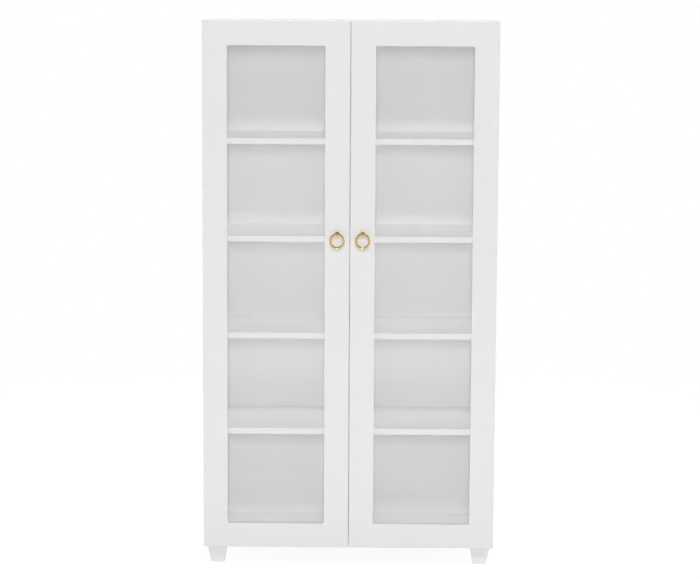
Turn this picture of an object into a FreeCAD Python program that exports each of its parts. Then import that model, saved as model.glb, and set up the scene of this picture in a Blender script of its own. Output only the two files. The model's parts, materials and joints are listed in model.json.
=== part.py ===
import FreeCAD, Part
import math
import os
import Sketcher

# A free-standing bookcase with two framed glass doors on concealed cup hinges, in millimetres.
# X runs to the right, Y to the back and Z up. The origin is on the floor, under the middle of the whole.

doc = FreeCAD.newDocument("GlassDoorBookcase")
sheet = doc.addObject("Spreadsheet::Sheet", "Sizes")

SIZES = {
    # carcass
    "case_width": 900.0,
    "case_height": 1626.0,
    "case_depth": 380.0,
    "board": 18.0,
    "board_round": 0.8,
    "leg_height": 60.0,
    # back panel in its grooves
    "back_thickness": 3.0,
    "back_inset": 10.0,
    "groove_depth": 7.0,
    "groove_play": 0.3,
    "groove_end_play": 1.0,
    # shelves
    "lowest_shelf_top": 371.0,
    "shelf_pitch": 299.5,
    "shelf_setback": 5.0,
    "shelf_play": 1.0,
    "support_diameter": 5.0,
    "support_depth": 9.0,
    "support_length": 17.0,
    "support_inset": 62.0,
    "spare_hole_pitch": 32.0,
    # knock-down joints between the boards
    "joint_inset": 50.0,
    "dowel_pitch": 32.0,
    "dowel_diameter": 8.0,
    "dowel_length": 30.0,
    "dowel_seat": 11.0,
    "cam_diameter": 15.0,
    "cam_height": 12.5,
    "cam_reach": 34.0,
    "cam_bolt_diameter": 5.0,
    "cam_bolt_seat": 11.0,
    "cam_bolt_head": 7.0,
    "cam_bolt_head_length": 3.0,
    "cam_bolt_bore": 8.0,
    "fixing_play": 0.1,
    # doors
    "door_thickness": 18.0,
    "door_setback": 2.0,
    "doors_gap": 2.5,
    "frame_width": 75.5,
    "window_round": 5.5,
    "door_round": 1.4,
    "window_edge_round": 0.8,
    "glass_lip": 8.0,
    "glass_thickness": 4.0,
    "glass_play": 1.0,
    "bead_thickness": 3.0,
    "bead_play": 0.3,
    "bumper_diameter": 8.0,
    "bumper_height": 1.7,
    # ring pulls
    "pull_height": 980.5,
    "pull_reach": 11.0,
    "pull_ball_diameter": 10.6,
    "pull_neck_diameter": 6.4,
    "pull_base_diameter": 13.0,
    "pull_base_height": 2.2,
    "pull_screw_diameter": 4.0,
    "pull_screw_depth": 6.5,
    "pull_screw_head_diameter": 8.4,
    "pull_screw_head_height": 1.6,
    "ring_wire": 5.5,
    "ring_half_width": 20.0,
    "ring_straight": 2.0,
    "ring_play": 0.75,
    # legs
    "leg_foot": 40.5,
    "leg_inset": 20.5,
    "leg_outer_taper": 11.5,
    "leg_inner_taper": 9.5,
    "leg_facet_top": 15.0,
    "leg_facet_foot": 11.0,
    "leg_facet_depth": 3.5,
    "leg_round": 2.0,
    "leg_bolt_diameter": 8.0,
    "leg_bolt_in_leg": 38.0,
    "leg_bolt_in_board": 12.0,
    # concealed hinges: places are measured in from the outer face and back from the front edge
    "hinge_end_height": 100.0,
    "cup_inset": 21.2,
    "cup_diameter": 35.0,
    "cup_depth": 11.8,
    "cup_wall": 1.0,
    "cup_floor": 1.2,
    "cup_slot": 16.0,
    "cup_bore_play": 0.2,
    "cup_flange_length": 52.0,
    "cup_flange_thickness": 1.0,
    "cup_screw_offset": 9.5,
    "cup_screw_pitch": 45.0,
    "cup_screw_diameter": 3.5,
    "cup_screw_length": 11.0,
    "cup_screw_head_diameter": 6.6,
    "cup_screw_head_height": 1.1,
    "hinge_pin_diameter": 3.0,
    "hinge_pin_play": 0.06,
    "outer_pin_rise": 8.0,
    "outer_pin_back": 11.0,
    "inner_pin_rise": 18.0,
    "inner_pin_back": 2.5,
    "outer_cup_pin_inset": 9.0,
    "outer_cup_pin_depth": 3.5,
    "inner_cup_pin_inset": 13.0,
    "inner_cup_pin_depth": 8.5,
    "link_width": 13.2,
    "link_plate": 2.0,
    "link_web": 1.5,
    "inner_link_width": 8.0,
    "link_eye": 2.4,
    "arm_width": 17.2,
    "arm_wall": 1.5,
    "arm_length": 62.0,
    "arm_rear_rise": 14.5,
    "arm_front_rise": 23.1,
    "plate_back": 37.0,
    "plate_length": 48.0,
    "plate_width": 18.0,
    "plate_thickness": 2.0,
    "plate_block_length": 26.0,
    "plate_block_width": 13.0,
    "arm_screw_length": 12.5,
    "plate_screw_pitch": 32.0,
    "plate_screw_diameter": 4.0,
    "plate_screw_length": 13.0,
    "plate_screw_head_diameter": 7.0,
    "plate_screw_head_height": 1.8,
}


class Size:
    """A length kept as its number and as the formula of sheet cells that gives it."""

    def __init__(self, number, formula):
        self.number = number
        self.formula = formula

    def __add__(self, other):
        return combine(self, "+", other)

    def __radd__(self, other):
        return combine(other, "+", self)

    def __sub__(self, other):
        return combine(self, "-", other)

    def __rsub__(self, other):
        return combine(other, "-", self)

    def __mul__(self, other):
        return combine(self, "*", other)

    def __rmul__(self, other):
        return combine(other, "*", self)

    def __truediv__(self, other):
        return combine(self, "/", other)

    def __neg__(self):
        return combine(0, "-", self)


def as_size(value):
    if isinstance(value, Size):
        return value
    return Size(float(value), "({:.6f})".format(value))


def combine(left, sign, right):
    left = as_size(left)
    right = as_size(right)
    results = {
        "+": left.number + right.number,
        "-": left.number - right.number,
        "*": left.number * right.number,
        "/": left.number / right.number if right.number else 0.0,
    }
    return Size(results[sign], "({} {} {})".format(left.formula, sign, right.formula))


def fill_sheet():
    for row, (alias, number) in enumerate(SIZES.items(), start=1):
        sheet.set("A{}".format(row), alias)
        sheet.set("B{}".format(row), str(number))
        sheet.setAlias("B{}".format(row), alias)
    doc.recompute()


def size(alias):
    return Size(float(SIZES[alias]), "Sizes." + alias)


fill_sheet()


# ---- helpers: each one binds what it makes to the sheet ----

ORIGIN_ROLES = {"XY": "XY_Plane", "XZ": "XZ_Plane", "YZ": "YZ_Plane"}
START, END, CENTRE = 1, 2, 3


def bind(target, **formulas):
    for name, value in formulas.items():
        target.setExpression(name, as_size(value).formula)
    return target


def place(target, x=0, y=0, z=0):
    for axis, value in (("x", x), ("y", y), ("z", z)):
        target.setExpression("Placement.Base." + axis, as_size(value).formula)
    return target


def new_body(label, x=0, y=0, z=0):
    body = doc.addObject("PartDesign::Body", label)
    body.Label = label
    return place(body, x, y, z)


def attach(body, feature, plane, **offset):
    """Sets a feature on one of the body's origin planes, moved along that plane's own x, y or z."""
    role = ORIGIN_ROLES[plane]
    base = next(item for item in body.Origin.OriginFeatures if item.Role == role)
    feature.AttachmentSupport = [(base, "")]
    feature.MapMode = "FlatFace"
    for axis, value in offset.items():
        feature.setExpression("AttachmentOffset.Base." + axis, as_size(value).formula)
    return feature


def new_sketch(body, plane, offset=0):
    """A sketch on one of the body's origin planes, moved along that plane's normal by offset."""
    return attach(body, body.newObject("Sketcher::SketchObject", "Sketch"), plane, z=offset)


def hold(sketch, kind, geometry, point, value):
    """Ties one coordinate of a sketch point to the sheet."""
    value = as_size(value)
    index = sketch.addConstraint(Sketcher.Constraint(kind, geometry, point, value.number))
    sketch.setExpression("Constraints[{}]".format(index), value.formula)


def hold_radius(sketch, geometry, radius):
    index = sketch.addConstraint(Sketcher.Constraint("Radius", geometry, radius.number))
    sketch.setExpression("Constraints[{}]".format(index), radius.formula)


def draw_polygon(sketch, corners):
    corners = [(as_size(x), as_size(y)) for x, y in corners]
    points = [FreeCAD.Vector(x.number, y.number, 0) for x, y in corners]
    lines = []
    for start, end in zip(points, points[1:] + points[:1]):
        lines.append(sketch.addGeometry(Part.LineSegment(start, end), False))
    for line, following in zip(lines, lines[1:] + lines[:1]):
        sketch.addConstraint(Sketcher.Constraint("Coincident", line, END, following, START))
    for line, (x, y) in zip(lines, corners):
        hold(sketch, "DistanceX", line, START, x)
        hold(sketch, "DistanceY", line, START, y)
    return sketch


def join_loop(sketch, first_arc, first_line, second_arc, second_line):
    """Closes two arcs and the two straight lines between them, both of which run the same way."""
    for join in (
        (first_arc, END, first_line, START),
        (first_line, END, second_arc, START),
        (second_arc, END, second_line, END),
        (second_line, START, first_arc, START),
    ):
        sketch.addConstraint(Sketcher.Constraint("Coincident", *join))


def draw_rectangle(sketch, x_low, y_low, x_high, y_high):
    return draw_polygon(sketch, [(x_low, y_low), (x_high, y_low), (x_high, y_high), (x_low, y_high)])


def draw_circles(sketch, centres, diameter):
    radius = as_size(diameter) / 2
    for x, y in centres:
        x = as_size(x)
        y = as_size(y)
        centre = FreeCAD.Vector(x.number, y.number, 0)
        index = sketch.addGeometry(Part.Circle(centre, FreeCAD.Vector(0, 0, 1), radius.number), False)
        hold(sketch, "DistanceX", index, CENTRE, x)
        hold(sketch, "DistanceY", index, CENTRE, y)
        hold_radius(sketch, index, radius)
    return sketch


def add_pad(body, sketch, length, backwards=False, both_ways=False):
    pad = body.newObject("PartDesign::Pad", "Pad")
    pad.Profile = sketch
    pad.Reversed = backwards
    pad.Midplane = both_ways
    bind(pad, Length=length)
    doc.recompute()
    return pad


def cut_pocket(body, sketch, depth, backwards=False, both_ways=False):
    """Cuts a sketch into the body, and stops the build if nothing was cut."""
    before = body.Shape.Volume
    pocket = body.newObject("PartDesign::Pocket", "Pocket")
    pocket.Profile = sketch
    pocket.Reversed = backwards
    pocket.Midplane = both_ways
    bind(pocket, Length=depth)
    doc.recompute()
    if body.Shape.Volume > before - 0.01:
        raise RuntimeError("{}: a pocket cut nothing".format(body.Label))
    return pocket


def drill(body, plane, offset, centres, diameter, depth, **way):
    """Sinks round holes from a plane of the body; way is cut_pocket's backwards or both_ways."""
    sketch = draw_circles(new_sketch(body, plane, offset), centres, diameter)
    return cut_pocket(body, sketch, depth, **way)


def round_edges(body, radius, wanted):
    """Rounds the edges of the body's latest feature that the wanted test accepts."""
    feature = body.Tip
    edges = enumerate(feature.Shape.Edges, start=1)
    names = ["Edge{}".format(number) for number, edge in edges if wanted(edge)]
    if not names:
        raise RuntimeError("{}: no edge to round".format(body.Label))
    fillet = body.newObject("PartDesign::Fillet", "Fillet")
    fillet.Base = (feature, names)
    bind(fillet, Radius=radius)
    doc.recompute()
    return fillet


def near(first, second):
    return abs(first - second) < 0.01


def runs_along(edge, axis):
    """True for a straight edge parallel to the axis 0, 1 or 2."""
    if edge.Curve.TypeId != "Part::GeomLine":
        return False
    direction = edge.Curve.Direction
    return near(abs((direction.x, direction.y, direction.z)[axis]), 1)


def lies_at(edge, axis, level):
    """True when the whole edge has this coordinate on the axis."""
    box = edge.BoundBox
    low = (box.XMin, box.YMin, box.ZMin)[axis]
    high = (box.XMax, box.YMax, box.ZMax)[axis]
    return near(low, level) and near(high, level)


def turn(target, axis):
    """Points a primitive that is made along Z along +X, -X, +Y, -Y, +Z or -Z."""
    turns = {
        "+X": (FreeCAD.Vector(0, 1, 0), 90),
        "-X": (FreeCAD.Vector(0, 1, 0), -90),
        "+Y": (FreeCAD.Vector(1, 0, 0), -90),
        "-Y": (FreeCAD.Vector(1, 0, 0), 90),
        "+Z": (FreeCAD.Vector(0, 0, 1), 0),
    }
    target.Placement = FreeCAD.Placement(FreeCAD.Vector(0, 0, 0), FreeCAD.Rotation(*turns[axis]))
    return target


def cylinder(radius, length, x, y, z, axis):
    """A cylinder whose base is centred at x, y, z and which runs along the axis."""
    rod = turn(doc.addObject("Part::Cylinder", "Cylinder"), axis)
    bind(rod, Radius=radius, Height=length)
    return place(rod, x, y, z)


def cone(radius, end_radius, length, x, y, z, axis):
    tapered = turn(doc.addObject("Part::Cone", "Cone"), axis)
    bind(tapered, Radius1=radius, Radius2=end_radius, Height=length)
    return place(tapered, x, y, z)


def fuse(*shapes):
    union = doc.addObject("Part::MultiFuse", "Fusion")
    union.Shapes = list(shapes)
    return union


def cut(base, *tools):
    difference = doc.addObject("Part::Cut", "Cut")
    difference.Base = base
    difference.Tool = tools[0] if len(tools) == 1 else fuse(*tools)
    return difference


def group(label, members):
    """Identical pieces that share one node, each a solid of its own."""
    compound = doc.addObject("Part::Compound", label)
    compound.Label = label
    compound.Links = list(members)
    return compound


sub_parts = []


def keep(sub_part):
    sub_parts.append(sub_part)
    return sub_part


# ---- driving sizes and the levels worked out from them ----

width = size("case_width")
height = size("case_height")
depth = size("case_depth")
board = size("board")
setback = size("door_setback")
door_thickness = size("door_thickness")
inner_width = width - 2 * board
case_bottom = size("leg_height")

# The front of the pull's ball is the foremost point, and the back edges of the sides are the rearmost.
front_overhang = setback + door_thickness + size("pull_reach") + size("pull_ball_diameter") / 2
case_front = (front_overhang - depth) / 2
back_face = depth - size("back_inset") - size("back_thickness")

SIDES = (("left", 1), ("right", -1))
BOTH_WAYS = (-1, 1)
shelf_count = 4
fixed_shelf = 2
shelf_tops = [size("lowest_shelf_top") + number * size("shelf_pitch") for number in range(shelf_count)]
adjustable_tops = [top for number, top in enumerate(shelf_tops, start=1) if number != fixed_shelf]
joint_levels = [board / 2, shelf_tops[fixed_shelf - 1] - board / 2, height - board / 2]
joint_backs = [size("joint_inset"), back_face - size("joint_inset")]
dowel_backs = [joint_backs[0] + size("dowel_pitch"), joint_backs[1] - size("dowel_pitch")]
support_backs = [size("support_inset"), back_face - size("support_inset")]
support_drop = size("support_diameter") / 2
hinge_heights = [size("hinge_end_height"), height / 2, height - size("hinge_end_height")]
leg_centre = size("leg_inset") + size("leg_foot") / 2
play = size("fixing_play")


def outer_x(side):
    """X of the carcass's outer face on this side; pieces there are measured inwards from it."""
    return -side * width / 2


def hole_for(alias):
    """The bore that a dowel, screw, bolt or pin of this diameter fits with the fixing play round it."""
    return size(alias) + 2 * play


def along(side):
    """The axis that points from this side of the bookcase towards its middle."""
    return "+X" if side > 0 else "-X"


# ---- carcass ----

def make_side(name, side):
    body = new_body("side_" + name, outer_x(side), case_front, case_bottom)
    outline = draw_rectangle(new_sketch(body, "YZ"), 0, 0, depth, height)
    add_pad(body, outline, board, backwards=side < 0)
    inner_face = side * board
    groove = draw_rectangle(
        new_sketch(body, "YZ", inner_face),
        back_face - size("groove_play"), -1, back_face + size("back_thickness"), height + 1,
    )
    cut_pocket(body, groove, size("groove_depth"), backwards=side < 0)
    dowel_holes = [(back, level) for back in dowel_backs for level in joint_levels]
    bolt_holes = [(back, level) for back in joint_backs for level in joint_levels]
    support_holes = []
    for top in adjustable_tops:
        for back in support_backs:
            for step in (-1, 0, 1):
                level = top - board - support_drop + step * size("spare_hole_pitch")
                support_holes.append((back, level))
    screw_holes = []
    for level in hinge_heights:
        for end in BOTH_WAYS:
            screw_holes.append((size("plate_back"), level + end * size("plate_screw_pitch") / 2))
    for centres, alias, sunk in (
        (dowel_holes, "dowel_diameter", size("dowel_seat") + play),
        (bolt_holes, "cam_bolt_diameter", size("cam_bolt_seat") + play),
        (support_holes, "support_diameter", size("support_depth")),
        (screw_holes, "plate_screw_diameter", size("plate_screw_length")),
    ):
        drill(body, "YZ", inner_face, centres, hole_for(alias), sunk, backwards=side < 0)
    round_edges(body, size("board_round"), lambda edge: lies_at(edge, 0, 0))
    return keep(body)


def make_cross_board(label, level, front, rear, groove_on=None, leg_bolts=False):
    """A board between the sides, held by dowels and cams let into its underside."""
    body = new_body(label, 0, case_front, case_bottom)
    half = inner_width / 2
    outline = draw_rectangle(new_sketch(body, "XY", level - board), -half, front, half, rear)
    add_pad(body, outline, board)
    middle = level - board / 2
    dowel_holes = [(back, middle) for back in dowel_backs]
    bolt_holes = [(back, middle) for back in joint_backs]
    dowel_reach = size("dowel_length") - size("dowel_seat") + play
    cam_places = []
    for name, side in SIDES:
        end = -side * half
        inwards = {"backwards": side > 0}
        drill(body, "YZ", end, dowel_holes, hole_for("dowel_diameter"), dowel_reach, **inwards)
        drill(body, "YZ", end, bolt_holes, size("cam_bolt_bore"), size("cam_reach"), **inwards)
        cam_places.extend((end + side * size("cam_reach"), back) for back in joint_backs)
    underside = level - board
    sunk = size("cam_height") + play
    drill(body, "XY", underside, cam_places, hole_for("cam_diameter"), sunk, backwards=True)
    if groove_on is not None:
        into_top = groove_on == "top"
        sketch = draw_rectangle(
            new_sketch(body, "XY", level if into_top else underside),
            -half - 1, back_face - size("groove_play"), half + 1, back_face + size("back_thickness"),
        )
        cut_pocket(body, sketch, size("groove_depth"), backwards=not into_top)
    if leg_bolts:
        places = []
        for name, side in SIDES:
            for back in (leg_centre, depth - leg_centre):
                places.append((-side * (width / 2 - leg_centre), back))
        sunk = size("leg_bolt_in_board") + play
        drill(body, "XY", underside, places, hole_for("leg_bolt_diameter"), sunk, backwards=True)
    front_y = as_size(front).number
    round_edges(body, size("board_round"), lambda edge: runs_along(edge, 0) and lies_at(edge, 1, front_y))
    return keep(body)


def make_loose_shelf(number, top):
    body = new_body("shelf_{}".format(number), 0, case_front, case_bottom)
    half = inner_width / 2 - size("shelf_play")
    front = size("shelf_setback")
    rear = back_face - size("shelf_play")
    outline = draw_rectangle(new_sketch(body, "XY", top - board), -half, front, half, rear)
    add_pad(body, outline, board)
    front_y = front.number
    round_edges(body, size("board_round"), lambda edge: lies_at(edge, 1, front_y) and runs_along(edge, 0))
    return keep(body)


def make_back():
    reach = size("groove_depth") - size("groove_end_play")
    panel = doc.addObject("Part::Box", "back_panel")
    panel.Label = "back_panel"
    bind(
        panel, Length=inner_width + 2 * reach, Width=size("back_thickness"),
        Height=height - 2 * board + 2 * reach,
    )
    place(panel, -inner_width / 2 - reach, case_front + back_face, case_bottom + board - reach)
    return keep(panel)


def make_cam_and_bolt(side, y, z):
    """A cam let into the board's underside and the bolt whose head it holds."""
    inner_x = outer_x(side) + side * board
    seat = size("cam_bolt_seat")
    reach = size("cam_reach")
    head_length = size("cam_bolt_head_length")
    shank_length = seat + reach - head_length / 2
    shank = cylinder(
        size("cam_bolt_diameter") / 2, shank_length, inner_x - side * seat, y, z, along(side))
    head_x = inner_x + side * (reach - head_length)
    head = cylinder(size("cam_bolt_head") / 2, head_length, head_x, y, z, along(side))
    cam_x = inner_x + side * reach
    disc = cylinder(size("cam_diameter") / 2, size("cam_height"), cam_x, y, z - board / 2, "+Z")
    bore_x = cam_x - side * (size("cam_diameter") - head_length)
    bore = cylinder(size("cam_bolt_bore") / 2, size("cam_diameter"), bore_x, y, z, along(side))
    return cut(disc, bore), fuse(shank, head)


def make_joint_fittings():
    cams = []
    bolts = []
    dowels = []
    for name, side in SIDES:
        dowel_x = outer_x(side) + side * (board - size("dowel_seat"))
        for level in joint_levels:
            z = case_bottom + level
            for back in joint_backs:
                cam, bolt = make_cam_and_bolt(side, case_front + back, z)
                cams.append(cam)
                bolts.append(bolt)
            for back in dowel_backs:
                y = case_front + back
                dowels.append(cylinder(
                    size("dowel_diameter") / 2, size("dowel_length"), dowel_x, y, z, along(side)))
    keep(group("cam_locks", cams))
    keep(group("cam_bolts", bolts))
    keep(group("dowels", dowels))


def make_shelf_supports():
    radius = size("support_diameter") / 2
    supports = []
    for name, side in SIDES:
        x = outer_x(side) + side * (board - size("support_depth") + play)
        for top in adjustable_tops:
            z = case_bottom + top - board - support_drop
            for back in support_backs:
                y = case_front + back
                supports.append(cylinder(radius, size("support_length"), x, y, z, along(side)))
    return keep(group("shelf_supports", supports))


# ---- legs ----

def leg_outline(side, facing, outer, inner, facet):
    """A square with a shallow facet on the corner towards the outside of the bookcase."""
    return [
        (side * (outer + facet), facing * outer),
        (side * inner, facing * outer),
        (side * inner, facing * inner),
        (side * outer, facing * inner),
        (side * outer, facing * (outer + size("leg_facet_depth"))),
    ]


def make_leg(label, side, facing):
    """facing is 1 for a front leg and -1 for a rear one."""
    corner_y = case_front if facing > 0 else case_front + depth
    body = new_body(label, outer_x(side), corner_y, case_bottom)
    foot_outer = size("leg_inset")
    foot_inner = foot_outer + size("leg_foot")
    top_outer = foot_outer - size("leg_outer_taper")
    top_inner = foot_inner + size("leg_inner_taper")
    top = draw_polygon(
        new_sketch(body, "XY"), leg_outline(side, facing, top_outer, top_inner, size("leg_facet_top")))
    foot = draw_polygon(
        new_sketch(body, "XY", -case_bottom),
        leg_outline(side, facing, foot_outer, foot_inner, size("leg_facet_foot")))
    loft = body.newObject("PartDesign::AdditiveLoft", "Loft")
    loft.Profile = top
    loft.Sections = [foot]
    loft.Ruled = True
    doc.recompute()
    foot_z = -case_bottom.number

    def on_flank(edge):
        return not lies_at(edge, 2, 0) and not lies_at(edge, 2, foot_z)

    round_edges(body, size("leg_round"), on_flank)
    bore = [(side * leg_centre, facing * leg_centre)]
    drill(body, "XY", 0, bore, hole_for("leg_bolt_diameter"), size("leg_bolt_in_leg") + play)
    return keep(body)


def make_leg_bolts():
    radius = size("leg_bolt_diameter") / 2
    length = size("leg_bolt_in_leg") + size("leg_bolt_in_board")
    z = case_bottom - size("leg_bolt_in_leg")
    bolts = []
    for name, side in SIDES:
        x = outer_x(side) + side * leg_centre
        for back in (leg_centre, depth - leg_centre):
            bolts.append(cylinder(radius, length, x, case_front + back, z, "+Z"))
    return keep(group("leg_bolts", bolts))


# ---- doors: X is measured in from the outer edge, Y from the carcass's front edge ----

door_width = width / 2 - size("doors_gap") / 2
frame_width = size("frame_width")
door_front = setback + door_thickness
rebate_depth = size("glass_thickness") + size("bead_thickness")
pull_x = door_width - frame_width / 2
cup_x = size("cup_inset")
cup_screw_x = cup_x + size("cup_screw_offset")


def window_corners(side, growth):
    """The window's outline on a door, widened by growth on every side."""
    return (
        side * (frame_width - growth),
        frame_width - growth,
        side * (door_width - frame_width + growth),
        height - frame_width + growth,
    )


def make_door_frame(name, side):
    body = new_body("door_frame_" + name, outer_x(side), case_front, case_bottom)
    outline = draw_rectangle(new_sketch(body, "XZ", setback), 0, 0, side * door_width, height)
    add_pad(body, outline, door_thickness)
    window = draw_rectangle(new_sketch(body, "XZ", setback), *window_corners(side, 0))
    cut_pocket(body, window, door_thickness, backwards=True)
    front_y = -door_front.number
    edge_x = door_width.number
    top_z = height.number
    margin = frame_width.number / 2

    def within_frame(edge):
        centre = edge.BoundBox.Center
        return margin < abs(centre.x) < edge_x - margin and margin < centre.z < top_z - margin

    def on_window_front(edge):
        return lies_at(edge, 1, front_y) and within_frame(edge)

    def on_outline(edge):
        beside = lies_at(edge, 0, 0) or lies_at(edge, 0, side * edge_x)
        return beside or lies_at(edge, 2, 0) or lies_at(edge, 2, top_z)

    round_edges(body, size("window_round"), lambda edge: runs_along(edge, 1) and within_frame(edge))
    round_edges(body, size("door_round"), on_outline)
    round_edges(body, size("window_edge_round"), on_window_front)
    rebate = draw_rectangle(new_sketch(body, "XZ", setback), *window_corners(side, size("glass_lip")))
    cut_pocket(body, rebate, rebate_depth, backwards=True)
    cups = [(side * cup_x, level) for level in hinge_heights]
    cup_screws = []
    for level in hinge_heights:
        for end in BOTH_WAYS:
            cup_screws.append((side * cup_screw_x, level + end * size("cup_screw_pitch") / 2))
    pull = [(side * pull_x, size("pull_height"))]
    for centres, alias, sunk in (
        (cups, "cup_diameter", size("cup_depth") + size("cup_bore_play")),
        (cup_screws, "cup_screw_diameter", size("cup_screw_length")),
        (pull, "pull_screw_diameter", door_thickness),
        (pull, "pull_screw_head_diameter", size("pull_screw_head_height")),
    ):
        drill(body, "XZ", setback, centres, hole_for(alias), sunk, backwards=True)
    return keep(body)


def make_glass(name, side):
    body = new_body("glass_" + name, outer_x(side), case_front, case_bottom)
    reach = size("glass_lip") - size("glass_play")
    rear_face = new_sketch(body, "XZ", setback + size("bead_thickness"))
    add_pad(body, draw_rectangle(rear_face, *window_corners(side, reach)), size("glass_thickness"))
    return keep(body)


def make_bead(name, side):
    body = new_body("glazing_bead_" + name, outer_x(side), case_front, case_bottom)
    reach = size("glass_lip") - size("bead_play")
    outline = draw_rectangle(new_sketch(body, "XZ", setback), *window_corners(side, reach))
    add_pad(body, outline, size("bead_thickness"))
    opening = draw_rectangle(new_sketch(body, "XZ", setback), *window_corners(side, 0))
    cut_pocket(body, opening, size("bead_thickness"), backwards=True)
    rear_y = -setback.number
    inner = [abs(value.number) for value in (frame_width, door_width - frame_width)]
    low_z = frame_width.number
    high_z = (height - frame_width).number

    def on_opening(edge):
        centre = edge.BoundBox.Center
        beside = near(abs(centre.x), inner[0]) or near(abs(centre.x), inner[1])
        return lies_at(edge, 1, rear_y) and (beside or near(centre.z, low_z) or near(centre.z, high_z))

    round_edges(body, size("bead_thickness") / 2, on_opening)
    return keep(body)


def make_bumpers(name, side):
    radius = size("bumper_diameter") / 2
    rise = size("bumper_height")
    x = outer_x(side) + side * (door_width - frame_width / 2)
    dots = []
    for level in (board / 2, height - board / 2):
        z = case_bottom + level
        dots.append(cone(radius, radius - rise / 2, rise, x, case_front - setback, z, "+Y"))
    return keep(group("door_bumpers_" + name, dots))


# ---- ring pulls ----

pull_y = door_front + size("pull_reach")


def make_pull_post(name, side):
    """A turned post: round foot, waisted neck and a ball that the ring passes through."""
    x = outer_x(side) + side * pull_x
    body = new_body("pull_post_" + name, x, case_front - door_front, case_bottom + size("pull_height"))
    base = size("pull_base_diameter") / 2
    neck = size("pull_neck_diameter") / 2
    foot = size("pull_base_height")
    reach = size("pull_reach")
    sketch = draw_polygon(new_sketch(body, "XY"), [
        (0, 0), (base, 0), (base, -foot / 2), (base - foot / 2, -foot), (neck, -foot), (neck, -reach),
        (0, -reach),
    ])
    revolution = body.newObject("PartDesign::Revolution", "Revolution")
    revolution.Profile = sketch
    revolution.ReferenceAxis = (sketch, ["V_Axis"])
    revolution.Angle = 360
    ball = body.newObject("PartDesign::AdditiveSphere", "Ball")
    bind(ball, Radius=size("pull_ball_diameter") / 2)
    attach(body, ball, "XY", y=-reach)
    doc.recompute()
    eye = size("ring_wire") + 2 * size("ring_play")
    drill(body, "YZ", 0, [(-reach, 0)], eye, size("pull_ball_diameter") + 2, both_ways=True)
    thread = hole_for("pull_screw_diameter")
    drill(body, "XZ", 0, [(0, 0)], thread, size("pull_screw_depth") + play, backwards=True)
    return keep(body)


def make_ring(name, side):
    """A round wire bent into a ring with short straight flanks, hanging from its eye."""
    x = outer_x(side) + side * pull_x
    body = new_body("pull_ring_" + name, x, case_front - pull_y, case_bottom + size("pull_height"))
    half = size("ring_half_width")
    straight = size("ring_straight")
    spine = new_sketch(body, "XZ")
    upper = FreeCAD.Vector(0, -half.number, 0)
    lower = FreeCAD.Vector(0, -(half + straight).number, 0)
    normal = FreeCAD.Vector(0, 0, 1)
    arcs = []
    for centre, start in ((upper, 0), (lower, math.pi)):
        arc = Part.ArcOfCircle(Part.Circle(centre, normal, half.number), start, start + math.pi)
        arcs.append(spine.addGeometry(arc, False))
    flanks = []
    for x_sign in (-1, 1):
        start = FreeCAD.Vector(x_sign * half.number, upper.y, 0)
        end = FreeCAD.Vector(x_sign * half.number, lower.y, 0)
        flanks.append(spine.addGeometry(Part.LineSegment(start, end), False))
    join_loop(spine, arcs[0], flanks[0], arcs[1], flanks[1])
    for arc, level in zip(arcs, (-half, -(half + straight))):
        hold(spine, "DistanceX", arc, CENTRE, 0)
        for point in (START, END, CENTRE):
            hold(spine, "DistanceY", arc, point, level)
        hold_radius(spine, arc, half)
    section = draw_circles(new_sketch(body, "XY", -half), [(-half, 0)], size("ring_wire"))
    pipe = body.newObject("PartDesign::AdditivePipe", "Pipe")
    pipe.Profile = section
    pipe.Spine = (spine, [])
    doc.recompute()
    return keep(body)


def make_pull_screw(name, side):
    x = outer_x(side) + side * pull_x
    y = case_front - setback
    z = case_bottom + size("pull_height")
    head_height = size("pull_screw_head_height")
    shank_length = door_thickness + size("pull_screw_depth")
    head = cylinder(size("pull_screw_head_diameter") / 2, head_height, x, y, z, "-Y")
    shank = cylinder(size("pull_screw_diameter") / 2, shank_length, x, y, z, "-Y")
    screw = fuse(head, shank)
    screw.Label = "pull_screw_" + name
    return keep(screw)


# ---- concealed hinges: X is measured in from the outer face, Y back from the carcass's front edge ----

outer_arm_pin = (board + size("outer_pin_rise"), size("outer_pin_back"))
inner_arm_pin = (board + size("inner_pin_rise"), size("inner_pin_back"))
outer_cup_pin = (size("outer_cup_pin_inset"), -(setback + size("outer_cup_pin_depth")))
inner_cup_pin = (size("inner_cup_pin_inset"), -(setback + size("inner_cup_pin_depth")))
pin_diameter = size("hinge_pin_diameter")
pin_hole = pin_diameter + 2 * size("hinge_pin_play")
cup_pin_half_length = size("cup_slot") / 2 + size("cup_wall") + play
cup_stub_start = size("link_width") / 2 + 6 * play
arm_screw_back = size("plate_back") + size("plate_block_length") / 4
arm_rear_web = board + size("arm_rear_rise")


def hinge_body(label, side, level):
    return new_body(label, outer_x(side), case_front, case_bottom + level)


def beside(point, across, back):
    """A point placed from a pin, across towards the middle of the bookcase and back from its front."""
    return (point[0] + across, point[1] + back)


def facing_side(side, points):
    return [(side * x, y) for x, y in points]


def drill_pin_holes(body, side, points, length):
    """Bores along Z for hinge pins, through the whole length of the piece."""
    drill(body, "XY", 0, facing_side(side, points), pin_hole, length, both_ways=True)


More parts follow.
